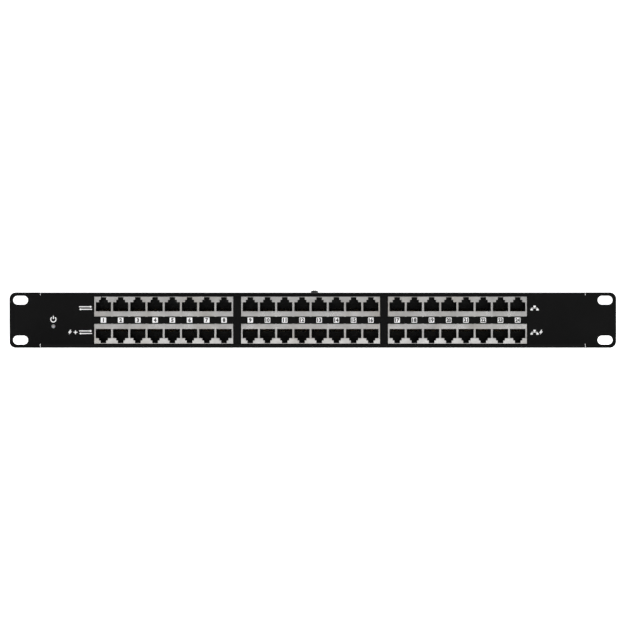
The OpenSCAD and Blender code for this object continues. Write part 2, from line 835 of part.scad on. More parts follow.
// Wire from the inlet board, up and forward to the upper jack board
module supply_wire(x) {
    translate([x, wire_start_y, inlet_z]) cylinder(r = wire_r, h = wire_top_z - wire_bend - inlet_z);
    translate([x, wire_start_y - wire_bend, wire_top_z - wire_bend]) rotate([0, -90, 180]) mirror([0, 1, 0])
        elbow(wire_bend, wire_r);
    rod_y([x, wire_end_y + wire_bend, wire_top_z], wire_r, wire_start_y - wire_end_y - 2 * wire_bend);
    translate([x, wire_end_y + wire_bend, wire_top_z - wire_bend]) rotate([0, -90, 180])
        elbow(wire_bend, wire_r);
    translate([x, wire_end_y, board_z]) cylinder(r = wire_r, h = wire_top_z - wire_bend - board_z);
}

module earth_screw() {
    color("#b9b9bc") translate([earth_x, body_d + washer_t, earth_z]) rotate([-90, 0, 0])
        pan_screw(7.5, earth_screw_r, 3.9, 2.6);
}

module earth_washer() {
    color("#b9b9bc") translate([earth_x, body_d, earth_z]) rotate([-90, 0, 0]) difference() {
        cylinder(r = 4.6, h = washer_t);
        translate([0, 0, -1]) cylinder(r = earth_hole_r + 0.1, h = 3);
    }
}

// ---- Lamp ----

module power_lamp() {
    color("#dfe6df") translate([led_x, 0, led_z]) rotate([90, 0, 0]) {
        rotate_extrude() {
            square([led_r, panel_t + 0.1]);
            intersection() {
                translate([0, panel_t - 0.6]) circle(led_r);
                square([led_r, panel_t + led_r]);
            }
        }
        translate([0, 0, -1]) cylinder(r = led_flange_r, h = 1);
        translate([0, 0, -3.5]) cylinder(r = led_r, h = 2.5 + eps);
    }
}

module lamp_leads() {
    color("silver") for (s = [-1, 1])
        block([led_x + s * lead_gap / 2 - 0.25, 3.5, led_z - 0.25],
              [led_x + s * lead_gap / 2 + 0.25, lead_end, led_z + 0.25]);
}

// One lamp wire: back from its lead, across to the board and up to the pad under it
module lamp_wire(s) {
    x = led_x + s * lead_gap / 2;
    turn_y = lead_end + 2 + (s < 0 ? lead_gap : 0);
    rod_y([x, lead_end, led_z], led_wire_r, turn_y - lead_end);
    translate([x + led_bend, turn_y, led_z]) rotate([0, 0, 90]) elbow(led_bend, led_wire_r);
    translate([x + led_bend, turn_y + led_bend, led_z]) rotate([0, 90, 0])
        cylinder(r = led_wire_r, h = led_wire_end - led_rise - x - led_bend);
    translate([led_wire_end - led_rise, turn_y + led_bend, led_z + led_rise]) rotate([-90, 0, 0])
        elbow(led_rise, led_wire_r);
}

front_panel();
base_tray();
top_cover();
cover_screws();
floor_screws();
clinch_nuts();
jack_board(board_z - board_t);  // upper_board
jack_board(-board_z);  // lower_board
board_posts();
board_spacers();
board_screws();
link_headers();
link_pins();
port_fuses();
inlet_board();
inlet_posts();
inlet_screws();
input_capacitor();
dc_jack_body();
dc_jack_contacts();
terminal_header();
header_pins();
terminal_plug();
plug_contacts();
clamp_screw(poles[0]);  // clamp_screw_left
clamp_screw(poles[1]);  // clamp_screw_right
clamp_cage(poles[0]);  // clamp_cage_left
clamp_cage(poles[1]);  // clamp_cage_right
color("#b03030") supply_wire(wire_x[0]);  // supply_wire_positive
color("#202022") supply_wire(wire_x[1]);  // supply_wire_negative
earth_screw();
earth_washer();
power_lamp();
lamp_leads();
color("#b03030") lamp_wire(-1);  // lamp_wire_positive
color("#202022") lamp_wire(1);  // lamp_wire_negative
for (kind = jack_parts)
    for (row = rows)
        for (i = [1 : block_count])
            translate([block_x(i - 1), 0, 0]) mirror([0, 0, row == "lower" ? 1 : 0]) jack_part(kind);
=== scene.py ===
# %% [markdown]
# # A rack panel with two rows of shielded jacks
#
# The panel is one rack unit high: a black steel front with ears, forty-eight plated jacks, a small lamp,
# and a closed steel casing behind it with the power inlets. The CAD model already holds every piece at its
# real size, so this lesson is about what CAD can't give: metal that was rolled and plated, powder that was
# sprayed and baked, ink that was pressed through a mesh, and light that shows them.

# %% Load the packed model
import json
import math

import bmesh
import bpy
from mathutils import Matrix, Vector


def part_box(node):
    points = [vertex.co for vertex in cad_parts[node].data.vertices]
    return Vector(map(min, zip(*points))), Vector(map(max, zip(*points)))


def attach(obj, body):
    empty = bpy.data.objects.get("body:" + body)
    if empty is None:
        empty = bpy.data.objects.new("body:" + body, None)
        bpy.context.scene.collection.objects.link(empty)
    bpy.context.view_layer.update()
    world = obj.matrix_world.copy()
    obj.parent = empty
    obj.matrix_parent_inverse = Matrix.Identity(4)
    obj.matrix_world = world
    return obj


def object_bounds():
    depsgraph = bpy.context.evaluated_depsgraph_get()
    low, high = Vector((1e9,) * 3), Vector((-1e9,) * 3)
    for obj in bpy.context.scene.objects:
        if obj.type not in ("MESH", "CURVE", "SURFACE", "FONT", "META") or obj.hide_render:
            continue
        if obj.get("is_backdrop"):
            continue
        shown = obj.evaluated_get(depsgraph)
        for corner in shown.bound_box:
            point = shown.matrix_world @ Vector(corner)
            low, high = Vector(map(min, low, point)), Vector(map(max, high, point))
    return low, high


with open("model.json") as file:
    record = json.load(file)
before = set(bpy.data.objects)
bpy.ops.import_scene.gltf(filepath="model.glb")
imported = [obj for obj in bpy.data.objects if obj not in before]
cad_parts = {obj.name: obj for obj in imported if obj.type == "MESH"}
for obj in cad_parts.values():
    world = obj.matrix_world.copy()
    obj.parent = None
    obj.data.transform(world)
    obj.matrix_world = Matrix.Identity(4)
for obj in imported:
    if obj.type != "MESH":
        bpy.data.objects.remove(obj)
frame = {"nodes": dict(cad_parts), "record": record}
cad_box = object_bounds()
mm = 0.001

# %% [markdown]
# ## Where things are
#
# A print is placed from the pieces that it belongs to, so that it follows them when the CAD model changes.
# A typed coordinate would be left behind. Here the script asks the CAD model for the few planes and centres
# that the rest needs: the panel's face, the rear wall, and the place of each port. A block of jacks has a
# thin wall at each end, and its ports share the rest evenly.

# %% Planes
face_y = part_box("front_panel")[0].y
wall_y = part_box("base_tray")[1].y
floor_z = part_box("base_tray")[0].z
print("face, rear wall and floor in mm", [round(place / mm, 2) for place in (face_y, wall_y, floor_z)])

# %% Port places
ports_in_block = 8
block_end_wall = 0.4 * mm
blocks = sorted(n for n in frame["nodes"] if n.startswith("jack_shield_upper"))


def port_centres(shield):
    """X of each port's centre in one block, from left to right."""
    low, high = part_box(shield)
    pitch = (high.x - low.x - 2 * block_end_wall) / ports_in_block
    return [low.x + block_end_wall + (i + 0.5) * pitch for i in range(ports_in_block)]


port_x = [x for shield in blocks for x in port_centres(shield)]
row_z = sum(corner.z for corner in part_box(blocks[0])) / 2
print("ports", len(port_x), "pitch", round((port_x[1] - port_x[0]) / mm, 2), "mm")

# %% [markdown]
# ## Camera
#
# A catalogue picture of a rack panel is taken straight on, from far away, so that the rows stay parallel
# and the ports at the ends look like those in the middle. A long lens at a distance does that, where a
# short lens close by would show the inner walls of the outer ports. The panel sits a little left of the
# middle.

# %% Camera
camera_distance = 1.9
view_width = 0.5099
aim = Vector((6.1 * mm, face_y, -0.3 * mm))

camera_data = bpy.data.cameras.new("camera")
camera = bpy.data.objects.new("camera", camera_data)
bpy.context.scene.collection.objects.link(camera)
camera.location = aim + Vector((0, -camera_distance, 0))
camera.rotation_euler = (math.pi / 2, 0, 0)
camera_data.sensor_width = 36.0
camera_data.lens = camera_data.sensor_width * camera_distance / view_width
camera_data.clip_start = 0.05
camera_data.clip_end = 50.0
bpy.context.scene.camera = camera
print("lens", round(camera_data.lens, 1), "mm")

# %% [markdown]
# ## Floor and light
#
# Black paint and bright tin are hard to light together. Both show mostly what they reflect, so the room is
# the light: a pale floor that curves up behind the panel, a dim even surround and four large soft lamps.
# One lamp above draws the grey roll-off along the upper bend, two at the sides fill the face from in
# front, and one behind lights the rear wall for a view from there. Small or hard lamps would print spots
# on the plating, so there are none.

# %% Sweep: a floor that curves up into a wall
sweep_front = -10.0
sweep_back = 3.2
sweep_radius = 1.0
sweep_height = 3.0
sweep_half = 10.0
sweep_steps = 16


def sweep_profile():
    """Points in Y and Z: floor, quarter bend and wall."""
    points = [(sweep_front, floor_z)]
    for i in range(sweep_steps + 1):
        angle = i / sweep_steps * math.pi / 2
        along = sweep_back - sweep_radius + sweep_radius * math.sin(angle)
        points.append((along, floor_z + sweep_radius * (1 - math.cos(angle))))
    return points + [(sweep_back, floor_z + sweep_height)]


def make_sweep():
    """Smooth sheet along the profile, declared as part of the stage."""
    mesh = bpy.data.meshes.new("sweep")
    shape = bmesh.new()
    rows = [[shape.verts.new((x, y, z)) for x in (-sweep_half, sweep_half)] for y, z in sweep_profile()]
    for near, far in zip(rows, rows[1:]):
        shape.faces.new((near[0], near[1], far[1], far[0])).smooth = True
    shape.to_mesh(mesh)
    shape.free()
    piece = bpy.data.objects.new("sweep", mesh)
    bpy.context.scene.collection.objects.link(piece)
    piece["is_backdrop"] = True
    return piece


sweep = make_sweep()
print("sweep faces", len(sweep.data.polygons))

# %% Surround
surround_strength = 0.3
scene = bpy.context.scene
scene.view_settings.view_transform = "Standard"
scene.world = bpy.data.worlds.new("surround")
scene.world.use_nodes = True
surround = scene.world.node_tree.nodes["Background"]
surround.inputs["Color"].default_value = (1.0, 1.0, 1.0, 1.0)
surround.inputs["Strength"].default_value = surround_strength
print("surround strength", surround_strength)

# %% Soft lamps
def soft_lamp(name, place, target, size, watts):
    """Square area lamp at a place, turned to a target. Places and size in metres."""
    data = bpy.data.lights.new(name, "AREA")
    data.shape = "SQUARE"
    data.size = size
    data.energy = watts
    lamp = bpy.data.objects.new(name, data)
    lamp.location = place
    lamp.rotation_euler = (Vector(target) - Vector(place)).to_track_quat("-Z", "Y").to_euler()
    scene.collection.objects.link(lamp)
    return lamp


lamps = [
    soft_lamp("lamp_above", (0, 0.1, 1.2), (0, 0.03, 0), 1.0, 9.0),
    soft_lamp("lamp_left", (-1.6, -0.7, 1.0), (0, 0, 0), 0.9, 6.0),
    soft_lamp("lamp_right", (1.6, -0.7, 1.0), (0, 0, 0), 0.9, 5.0),
    soft_lamp("lamp_behind", (0.3, 1.5, 1.3), (0, 0.05, 0), 1.2, 12.0)]
print("lamps", len(lamps), "watts", sum(lamp.data.energy for lamp in lamps))

# %% [markdown]
# ## A short way to write materials
#
# A material is a small program. Drawn as nodes it is quick to change but hard to read, so here each signal
# is a Python object: adding, subtracting or multiplying two of them adds the Math node that does it. One
# method makes every other node, from its type, its settings and what goes into its sockets. Values that
# are the same all over a surface are set on the shader itself, and only what varies is linked.

# %% Signals
class Signal:
    """An output socket that can be used in arithmetic."""

    def __init__(self, finish, socket):
        self.finish = finish
        self.socket = socket

    def math(self, operation, first, second):
        return self.finish.add("ShaderNodeMath", {"operation": operation}, {0: first, 1: second})

    def __add__(self, other):
        return self.math("ADD", self, other)

    def __radd__(self, other):
        return self.math("ADD", other, self)

    def __sub__(self, other):
        return self.math("SUBTRACT", self, other)

    def __rsub__(self, other):
        return self.math("SUBTRACT", other, self)

    def __mul__(self, other):
        return self.math("MULTIPLY", self, other)

    def __rmul__(self, other):
        return self.math("MULTIPLY", other, self)

    def __gt__(self, other):
        return self.math("GREATER_THAN", self, other)

    def __lt__(self, other):
        return self.math("LESS_THAN", self, other)


def find_socket(sockets, key):
    """A socket by number, by identifier or by name."""
    if isinstance(key, int):
        return sockets[key]
    return next((s for s in sockets if s.identifier == key), None) or sockets[key]


print("signal operators", [name for name in vars(Signal) if name.startswith("__r")])

# %% [markdown]
# ## A finish
#
# Every finish here is one Principled shader, so the class that follows starts with one and reads places
# from the object itself, in metres. Its helpers are the few patterns that the finishes share: clouds of
# noise, a stretch of a signal, one coordinate, a blend of two colours, and a height that becomes a bump.

# %% Finishes
class Finish:
    """A material built on one Principled shader. Constants sit on the shader's own sockets."""

    def __init__(self, name, constants):
        self.material = bpy.data.materials.new(name)
        self.material.use_nodes = True
        self.tree = self.material.node_tree
        self.shader = self.tree.nodes["Principled BSDF"]
        for socket, value in constants.items():
            self.shader.inputs[socket].default_value = value
        self.place = self.add("ShaderNodeTexCoord", output="Object")

    def add(self, kind, settings=None, sockets=None, output=0):
        node = self.tree.nodes.new(kind)
        for key, value in (settings or {}).items():
            setattr(node, key, value)
        for key, value in (sockets or {}).items():
            socket = find_socket(node.inputs, key)
            if isinstance(value, Signal):
                self.tree.links.new(value.socket, socket)
            else:
                socket.default_value = value
        return Signal(self, find_socket(node.outputs, output))

    def noise(self, per_metre, detail=2.0, stretch=(1.0, 1.0, 1.0)):
        """Cloud with so many lumps to the metre, drawn out along an axis where stretch is small."""
        spot = self.add("ShaderNodeMapping", None, {"Vector": self.place, "Scale": stretch})
        return self.add("ShaderNodeTexNoise", None, {"Vector": spot, "Scale": per_metre, "Detail": detail})

    def spread(self, signal, low, high):
        """The part of a signal between low and high, stretched to run from 0 to 1."""
        sockets = {"Value": signal, "From Min": low, "From Max": high}
        return self.add("ShaderNodeMapRange", None, sockets)

    def axis(self, letter):
        """One coordinate of the place, in metres."""
        return self.add("ShaderNodeSeparateXYZ", None, {"Vector": self.place}, letter)

    def mix(self, factor, first, second):
        """Colour between two colours or signals."""
        sockets = {"Factor_Float": factor, "A_Color": first, "B_Color": second}
        return self.add("ShaderNodeMix", {"data_type": "RGBA"}, sockets, "Result_Color")

    def feed(self, socket, signal):
        self.tree.links.new(signal.socket, self.shader.inputs[socket])

    def emboss(self, height, depth):
        """Bump from a height signal that runs from 0 to 1 over a depth in metres."""
        self.feed("Normal", self.add("ShaderNodeBump", None, {"Height": height, "Distance": depth}))


def grey(value, warmth=0.0):
    """A nearly neutral colour. Positive warmth takes blue away."""
    return (value * (1 + warmth), value, value * (1 - warmth), 1.0)


finishes = {}
print("finish helpers", [name for name in vars(Finish) if not name.startswith("__")])

# %% [markdown]
# ## Powder coat
#
# The casing is folded sheet, sprayed with black powder and baked. The grains flow together but never quite
# level out, so the coat has a fine sparkle of half-millimetre dimples and a slow orange peel under it.
# Both are heights, so they go to the bump. The colour hardly changes; what tells paint from plastic is
# that its shine is uneven, with handled and dusty places a little duller, so the same slow cloud drives
# roughness and a trace of grey.

# %% Black powder coat
def powder_coat():
    finish = Finish("powder_coat", {"Specular IOR Level": 0.08})
    grain = finish.noise(2300.0, 3.0)
    peel = finish.noise(420.0, 1.0)
    cloud = finish.spread(finish.noise(16.0, 4.0), 0.35, 0.7)
    dust = finish.spread(finish.noise(1500.0, 2.0), 0.66, 0.78) * cloud
    coat = finish.mix(cloud, grey(0.0012, -0.03), grey(0.0036, -0.02))
    finish.feed("Base Color", finish.mix(dust * 0.3, coat, grey(0.025)))
    finish.feed("Roughness", 0.42 + cloud * 0.12 + grain * 0.1)
    finish.emboss(grain * 0.65 + peel * 0.35, 0.05 * mm)
    return finish


finishes["black_coating"] = powder_coat()
print("powder coat nodes", len(finishes["black_coating"].tree.nodes))

# %% [markdown]
# ## Plated shield
#
# The jacks' shields are stamped from thin copper-alloy strip with a satin tin plate. Strip carries the
# marks of the rolls, long fine lines in one direction, and plating adds soft blotches where the bath was
# richer. The lines run along the panel, so the noise is drawn out along X and packed tight across it.
# Fingers and storage leave patches that are duller and slightly yellow, which keeps forty-eight ports from
# looking like one flat sheet.
#
# On a panel like this the lower shoulders of the lower row look brighter than the rest of the plate. The
# likely reason is that thin strip is drawn in a little round an opening, so that it leans and picks up the
# pale floor. A fall of some tenths of a millimetre would hardly show in a mesh, but it changes what the
# metal reflects. So here it is one more height, added to the marks before the bump.

# %% Tin-plated strip
roll_depth = 0.006 * mm


def plated_strip(name, bright, dull, base_roughness):
    """Finish of a plated strip, and the height of its roll marks and blotches."""
    finish = Finish(name, {"Metallic": 1.0})
    roll = finish.noise(1.0, 3.0, (45.0, 5200.0, 5200.0))
    blotch = finish.spread(finish.noise(95.0, 3.0), 0.3, 0.72)
    stain = finish.spread(finish.noise(28.0, 5.0), 0.48, 0.75)
    plate = finish.mix(blotch, dull, bright)
    warm = (dull[0] * 0.98, dull[1] * 0.93, dull[2] * 0.84, 1.0)
    finish.feed("Base Color", finish.mix(stain * 0.6, plate, warm))
    finish.feed("Roughness", base_roughness + stain * 0.14 + roll * 0.1 - blotch * 0.05)
    return finish, roll * 0.7 + blotch * 0.3


pins, pin_marks = plated_strip("tinned_pins", grey(0.70, 0.01), grey(0.60, 0.03), 0.26)
pins.emboss(pin_marks, roll_depth)
finishes["tinned_brass"] = pins
print("pins", pins.material.name)

# %% Jack shields
shoulder_height = 4.0 * mm
shoulder_fall = 0.42 * mm

shield, shield_marks = plated_strip("tin_plate", grey(0.50, 0.012), grey(0.36, 0.02), 0.26)
shield_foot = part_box("jack_shield_lower_1")[0].z
lean = shield.spread(shield.axis("Z"), shield_foot, shield_foot + shoulder_height)
shield.emboss(shield_marks * (roll_depth / shoulder_fall) + lean, shoulder_fall)
finishes["plated_shield"] = shield
print("plated finishes", sorted(finishes))

# %% [markdown]
# ## Screws, nuts and posts
#
# The case screws are blackened steel, whose oxide is thin enough for the metal's shine to come through.
# The terminal's screws and the earth screw are zinc-plated and passivated, which leaves a faint blue and
# yellow bloom. The posts are turned brass, with rings left by the tool round their axis, and the sprung
# contacts have a flash of gold. One function serves them all, because they differ only in colours, shine
# and the way their marks run.

# %% Fastener metals
def worked_metal(name, main, bloom, roughness, stretch, metallic=1.0):
    """Metal with tool marks drawn out by stretch and a thin-film bloom of a second colour."""
    finish = Finish(name, {"Metallic": metallic})
    marks = finish.noise(1.0, 2.0, stretch)
    patch = finish.spread(finish.noise(380.0, 3.0), 0.35, 0.7)
    finish.feed("Base Color", finish.mix(patch, main, bloom))
    finish.feed("Roughness", roughness + patch * 0.1 + marks * 0.08)
    finish.emboss(marks, 0.008 * mm)
    return finish


even_marks = (2600.0, 2600.0, 2600.0)
turned_rings = (300.0, 300.0, 6500.0)
finishes["black_steel"] = worked_metal("black_oxide", grey(0.035), grey(0.06, 0.04), 0.36, even_marks, 0.85)
finishes["zinc_steel"] = worked_metal(
    "bright_zinc", (0.36, 0.37, 0.39, 1.0), (0.39, 0.37, 0.32, 1.0), 0.3, even_marks)
finishes["brass_posts"] = worked_metal(
    "turned_brass", (0.76, 0.58, 0.28, 1.0), (0.66, 0.47, 0.22, 1.0), 0.24, turned_rings)
finishes["gold_plating"] = worked_metal(
    "gold_flash", (0.86, 0.63, 0.27, 1.0), (0.80, 0.55, 0.22, 1.0), 0.2, (900.0, 120.0, 2600.0))
print("metals", len(finishes))

# %% [markdown]
# ## Moulded plastics
#
# The jack housings, the inlet and the terminal are injection moulded. Moulds are spark-eroded, so the
# plastic has an even matt grain of a few hundredths of a millimetre, broken by slow flow marks where the
# melt cooled. The grain is the same for every colour, so one function takes the colour and the shine.
# Natural nylon and the lamp's lens also let light in below the surface, which is a constant and so is set
# on the shader.

# %% Plastics
def moulded(name, main, flow_colour, roughness, constants=None):
    finish = Finish(name, constants or {})
    erosion = finish.noise(5200.0, 2.0)
    flow = finish.spread(finish.noise(130.0, 4.0, (1.0, 0.45, 1.0)), 0.36, 0.68)
    finish.feed("Base Color", finish.mix(flow, main, flow_colour))
    finish.feed("Roughness", roughness + flow * 0.08 + erosion * 0.06)
    finish.emboss(erosion, 0.02 * mm)
    return finish


soft_glow = {"Subsurface Weight": 0.35, "Subsurface Scale": 0.002}
finishes["black_plastic"] = moulded(
    "black_housing", grey(0.003), grey(0.006, 0.02), 0.48, {"Specular IOR Level": 0.16})
finishes["green_plastic"] = moulded(
    "green_terminal", (0.018, 0.205, 0.058, 1.0), (0.026, 0.262, 0.078, 1.0), 0.36)
finishes["natural_nylon"] = moulded("natural_nylon", grey(0.72, 0.05), grey(0.66, 0.07), 0.4, soft_glow)
finishes["fuse_polymer"] = moulded("fuse_body", (0.02, 0.09, 0.05, 1.0), (0.03, 0.12, 0.06, 1.0), 0.5)
finishes["red_wire"] = moulded("red_insulation", (0.42, 0.012, 0.012, 1.0), (0.5, 0.02, 0.016, 1.0), 0.3)
finishes["black_wire"] = moulded("black_insulation", grey(0.012), grey(0.018), 0.3)
print("finishes so far", len(finishes))

# %% [markdown]
# ## Lamp lens
#
# The lamp is off, so it shows as a milky grey dome in the black panel. Diffusing powder is stirred into the
# epoxy. The lens's colour is painted whiter towards its tip, which is a painted highlight at the middle of
# the dome. A thin clear skin over the milk gives the sharp highlight that an unlit lamp always has: that is
# the coat, a constant.

# %% Milky epoxy
def milky_lens():
    constants = {
        "Coat Roughness": 0.1, "Subsurface Weight": 0.5, "Subsurface Scale": 0.0015, "Coat Weight": 0.3}
    finish = Finish("milky_lens", constants)
    low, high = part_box("power_lamp")
    # Painted highlight: the lens's colour grows whiter towards its tip, the middle of the dome.
    tip_highlight = finish.spread(finish.axis("Y"), face_y, low.y)
    powder = finish.noise(2500.0, 3.0)
    finish.feed("Base Color", finish.mix(tip_highlight * 0.8 + powder * 0.2, grey(0.22, -0.01), grey(0.36, 0.01)))
    finish.feed("Roughness", 0.3 + powder * 0.15)
    return finish


finishes["lamp_lens"] = milky_lens()

# %% [markdown]
# ## Circuit boards
#
# A board is glass cloth in resin, with copper under a green lacquer. The lacquer is darker over bare
# laminate and lighter over copper, so parallel tracks show as stripes, and the cloth's weave shows as a
# faint checked pattern. The stripes come from one coordinate, broken up by a blocky noise so that tracks
# stop and start.

# %% Solder resist over tracks
track_pitch = 1.27 * mm


def board_lacquer():
    finish = Finish("board_lacquer", {"Coat Roughness": 0.15})
    across = finish.axis("X")
    stripe = finish.add("ShaderNodeMath", {"operation": "FRACT"}, {0: across * (1 / track_pitch)})
    blocky = {"Vector": finish.place, "Scale": 140.0, "Randomness": 0.4}
    cells = finish.add("ShaderNodeTexVoronoi", {"distance": "CHEBYCHEV"}, blocky, "Distance")
    track = (stripe > 0.62) * (cells > 0.38)
    weave = finish.noise(2800.0, 1.0, (1.0, 1.0, 0.2))
    lacquer = finish.mix(weave, (0.010, 0.085, 0.035, 1.0), (0.014, 0.105, 0.045, 1.0))
    finish.feed("Base Color", finish.mix(track, lacquer, (0.03, 0.20, 0.08, 1.0)))
    finish.feed("Roughness", 0.24 + weave * 0.12)
    finish.emboss(track * 0.7 + weave * 0.3, 0.03 * mm)
    return finish


finishes["board_laminate"] = board_lacquer()
print("board nodes", len(finishes["board_laminate"].tree.nodes))

# %% [markdown]
# ## Capacitor sleeve
#
# An electrolytic capacitor is an aluminium can in a shrunk plastic sleeve. The sleeve carries a pale
# stripe down the side of its negative lead, and the top of the can stays bare. Stripe and top are found
# from the piece's own box, as masks on two coordinates, so no picture is needed.

# %% Sleeve, stripe and bare top
stripe_start = 0.86
top_rim = 0.3 * mm


def sleeve():
    finish = Finish("capacitor_sleeve", {})
    low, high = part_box("input_capacitor")
    stripe = finish.axis("X") > low.x + stripe_start * (high.x - low.x)
    top = finish.axis("Z") > high.z - top_rim
    scuff = finish.noise(900.0, 3.0)
    skin = finish.mix(stripe, (0.012, 0.013, 0.03, 1.0), grey(0.5))
    finish.feed("Base Color", finish.mix(top, skin, grey(0.75)))
    finish.feed("Metallic", top)
    finish.feed("Roughness", 0.28 + scuff * 0.15)
    finish.emboss(scuff, 0.01 * mm)
    return finish


finishes["capacitor_sleeve"] = sleeve()
print("sleeve nodes", len(finishes["capacitor_sleeve"].tree.nodes))

# %% [markdown]
# ## Printing ink
#
# The numbers, marks and their white fields are screen printed. Ink pushed through a mesh dries with the
# mesh's own tiny pillows and with a slightly uneven cover, thinner where the squeegee pressed. White over
# black shows this most, so the white is broken a little towards grey.

# %% White and black ink
def ink(name, full, thin, roughness):
    finish = Finish(name, {"Specular IOR Level": 0.35})
    pillow = finish.noise(7000.0, 1.0)
    cover = finish.spread(finish.noise(700.0, 4.0), 0.25, 0.6)
    finish.feed("Base Color", finish.mix(cover, thin, full))
    finish.feed("Roughness", roughness + pillow * 0.1)
    finish.emboss(pillow * 0.6 + cover * 0.4, 0.01 * mm)
    return finish


finishes["white_print"] = ink("white_ink", grey(0.88), grey(0.74), 0.5)
finishes["dark_print"] = ink("black_ink", grey(0.012), grey(0.02), 0.45)
print("finishes", len(finishes))

# %% [markdown]
# ## The studio sweep's own paint
#
# The sweep isn't part of the object, but it fills most of the picture, so it gets a matt paint with a
# faint roller texture and no shine. In a studio a cut-out background has its own lamps, which burn it out
# to white without touching the object. Here a constant glow in the paint stands for them.

# %% Matt studio paint
sweep_glow = 0.8


def studio_paint():
    finish = Finish("studio_paint", {"Specular IOR Level": 0.1, "Emission Strength": sweep_glow})
    roller = finish.noise(60.0, 3.0)
    paint = finish.mix(roller, grey(0.93), grey(0.95))
    finish.feed("Base Color", paint)
    finish.feed("Emission Color", paint)
    finish.feed("Roughness", 0.85 + roller * 0.1)
    return finish


sweep.data.materials.append(studio_paint().material)
print("sweep painted")

# %% [markdown]
# ## Edges that catch light
#
# Nothing real has a perfectly sharp edge: sheared sheet has a rolled side, mouldings leave the tool with a
# small radius. A bevel of a tenth of a millimetre or less is enough to draw the thin bright line that
# makes an edge read. The CAD mesh arrives with each face separate, so it is first welded, then bevelled
# where it turns by more than a third of a right angle, and last its normals are weighted so that flat
# faces stay flat. All three are modifiers, so the model itself stays as CAD made it. Hidden pieces with
# hundreds of tiny holes are left alone.

# %% Edge radii in millimetres
edge_radius = {
    "front_panel": 0.14, "base_tray": 0.14, "top_cover": 0.14,
    "jack_shield": 0.07, "jack_housing": 0.12, "jack_carriers": 0.1, "jack_contacts": 0.05,
    "cover_screws": 0.08, "floor_screws": 0.08, "earth_screw": 0.1, "earth_washer": 0.12,
    "dc_jack_body": 0.22, "dc_jack_contacts": 0.08, "terminal_header": 0.15, "terminal_plug": 0.22,
    "clamp_screw": 0.08, "clamp_cage": 0.12, "plug_contacts": 0.06, "header_pins": 0.08,
    "input_capacitor": 0.3, "port_fuses": 0.1, "link_headers": 0.08, "board_screws": 0.08}
bevel_angle = math.radians(32)
weld_distance = 0.002 * mm
smallest_rounded = 0.05
print("radii", len(edge_radius), "from", min(edge_radius.values()), "to", max(edge_radius.values()), "mm")

# %% Bevels and finishes on the CAD pieces
def soften(piece, radius, segments):
    """Weld, bevel and weighted normals, all as modifiers."""
    for polygon in piece.data.polygons:
        polygon.use_smooth = True
    weld = piece.modifiers.new("weld", "WELD")
    weld.merge_threshold = weld_distance
    bevel = piece.modifiers.new("edges", "BEVEL")
    bevel.width = radius
    bevel.segments = segments
    bevel.limit_method = "ANGLE"
    bevel.angle_limit = bevel_angle
    bevel.use_clamp_overlap = True
    normals = piece.modifiers.new("normals", "WEIGHTED_NORMAL")
    normals.keep_sharp = False


slots = {part["node"]: part["material_slot"] for part in frame["record"]["subparts"]}
softened = 0
for name, node in frame["nodes"].items():
    node.data.materials.clear()
    node.data.materials.append(finishes[slots[name]].material)
    radius = next((r for stem, r in edge_radius.items() if name.startswith(stem)), None)
    if radius:
        soften(node, radius * mm, 1 if radius <= smallest_rounded else 2)
        softened += 1
print("pieces softened", softened, "of", len(frame["nodes"]))

# %% [markdown]
# ## Flat shapes for printed marks
#
# Ink has a thickness, a few hundredths of a millimetre, and modelling it keeps the marks real from every
# side and in the mesh. Each mark is an outline in the plane of the wall, given as points that a formula
# makes where they lie on an arc. The outline is closed into a thin slab that stands on the wall, a hair's
# breadth clear of it. The same function prints on the front and on the rear wall, so it is told which way
# the wall faces.

# %% Outlines
def arc(centre, radius, start, end, steps=18):
    """Points on an arc, with angles in degrees counted from +X."""
    angles = [math.radians(start + (end - start) * i / steps) for i in range(steps + 1)]
    return [(centre[0] + radius * math.cos(a), centre[1] + radius * math.sin(a)) for a in angles]


def band(centre, radius, stroke, start, end):
    """Outline of a curved stroke."""
    outer = arc(centre, radius + stroke / 2, start, end)
    return outer + arc(centre, radius - stroke / 2, start, end)[::-1]


def box_outline(x, z, width, height, corner=0.0):
    """Rectangle round a centre, with round corners if a corner radius is given."""
    half_w, half_h = width / 2 - corner, height / 2 - corner
    if corner == 0.0:
        return [(x + sx * half_w, z + sz * half_h) for sx, sz in ((-1, -1), (1, -1), (1, 1), (-1, 1))]
    corners = [(1, 1, 0), (-1, 1, 90), (-1, -1, 180), (1, -1, 270)]
    return [p for sx, sz, turn in corners
            for p in arc((x + sx * half_w, z + sz * half_h), corner, turn, turn + 90, 5)]


print("points in a full ring's outline", len(band((0, 0), 1, 0.1, 0, 360)))

# %% Slabs of ink
ink_thickness = 0.04 * mm
ink_gap = 0.004 * mm


def finish_piece(name, mesh, slot, body="casing"):
    """Object from a mesh that is already in place, with its finish and its body."""
    piece = bpy.data.objects.new(name, mesh)
    scene.collection.objects.link(piece)
    mesh.materials.append(finishes[slot].material)
    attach(piece, body)
    return piece


def print_on_wall(name, outlines, slot, wall, facing=-1):
    """Thin slabs on a wall at a Y, facing the front with -1 or the rear with +1."""
    shape = bmesh.new()
    near = wall + facing * ink_gap
    far = wall + facing * (ink_gap + ink_thickness)
    for outline in outlines:
        back = [shape.verts.new((x, near, z)) for x, z in outline]
        front = [shape.verts.new((x, far, z)) for x, z in outline]
        shape.faces.new(front)
        shape.faces.new(back[::-1])
        for i in range(len(outline)):
            j = (i + 1) % len(outline)
            shape.faces.new((front[i], back[i], back[j], front[j]))
    bmesh.ops.recalc_face_normals(shape, faces=shape.faces)
    mesh = bpy.data.meshes.new(name)
    shape.to_mesh(mesh)
    shape.free()
    return finish_piece(name, mesh, slot)


print("ink", ink_thickness / mm, "mm thick")

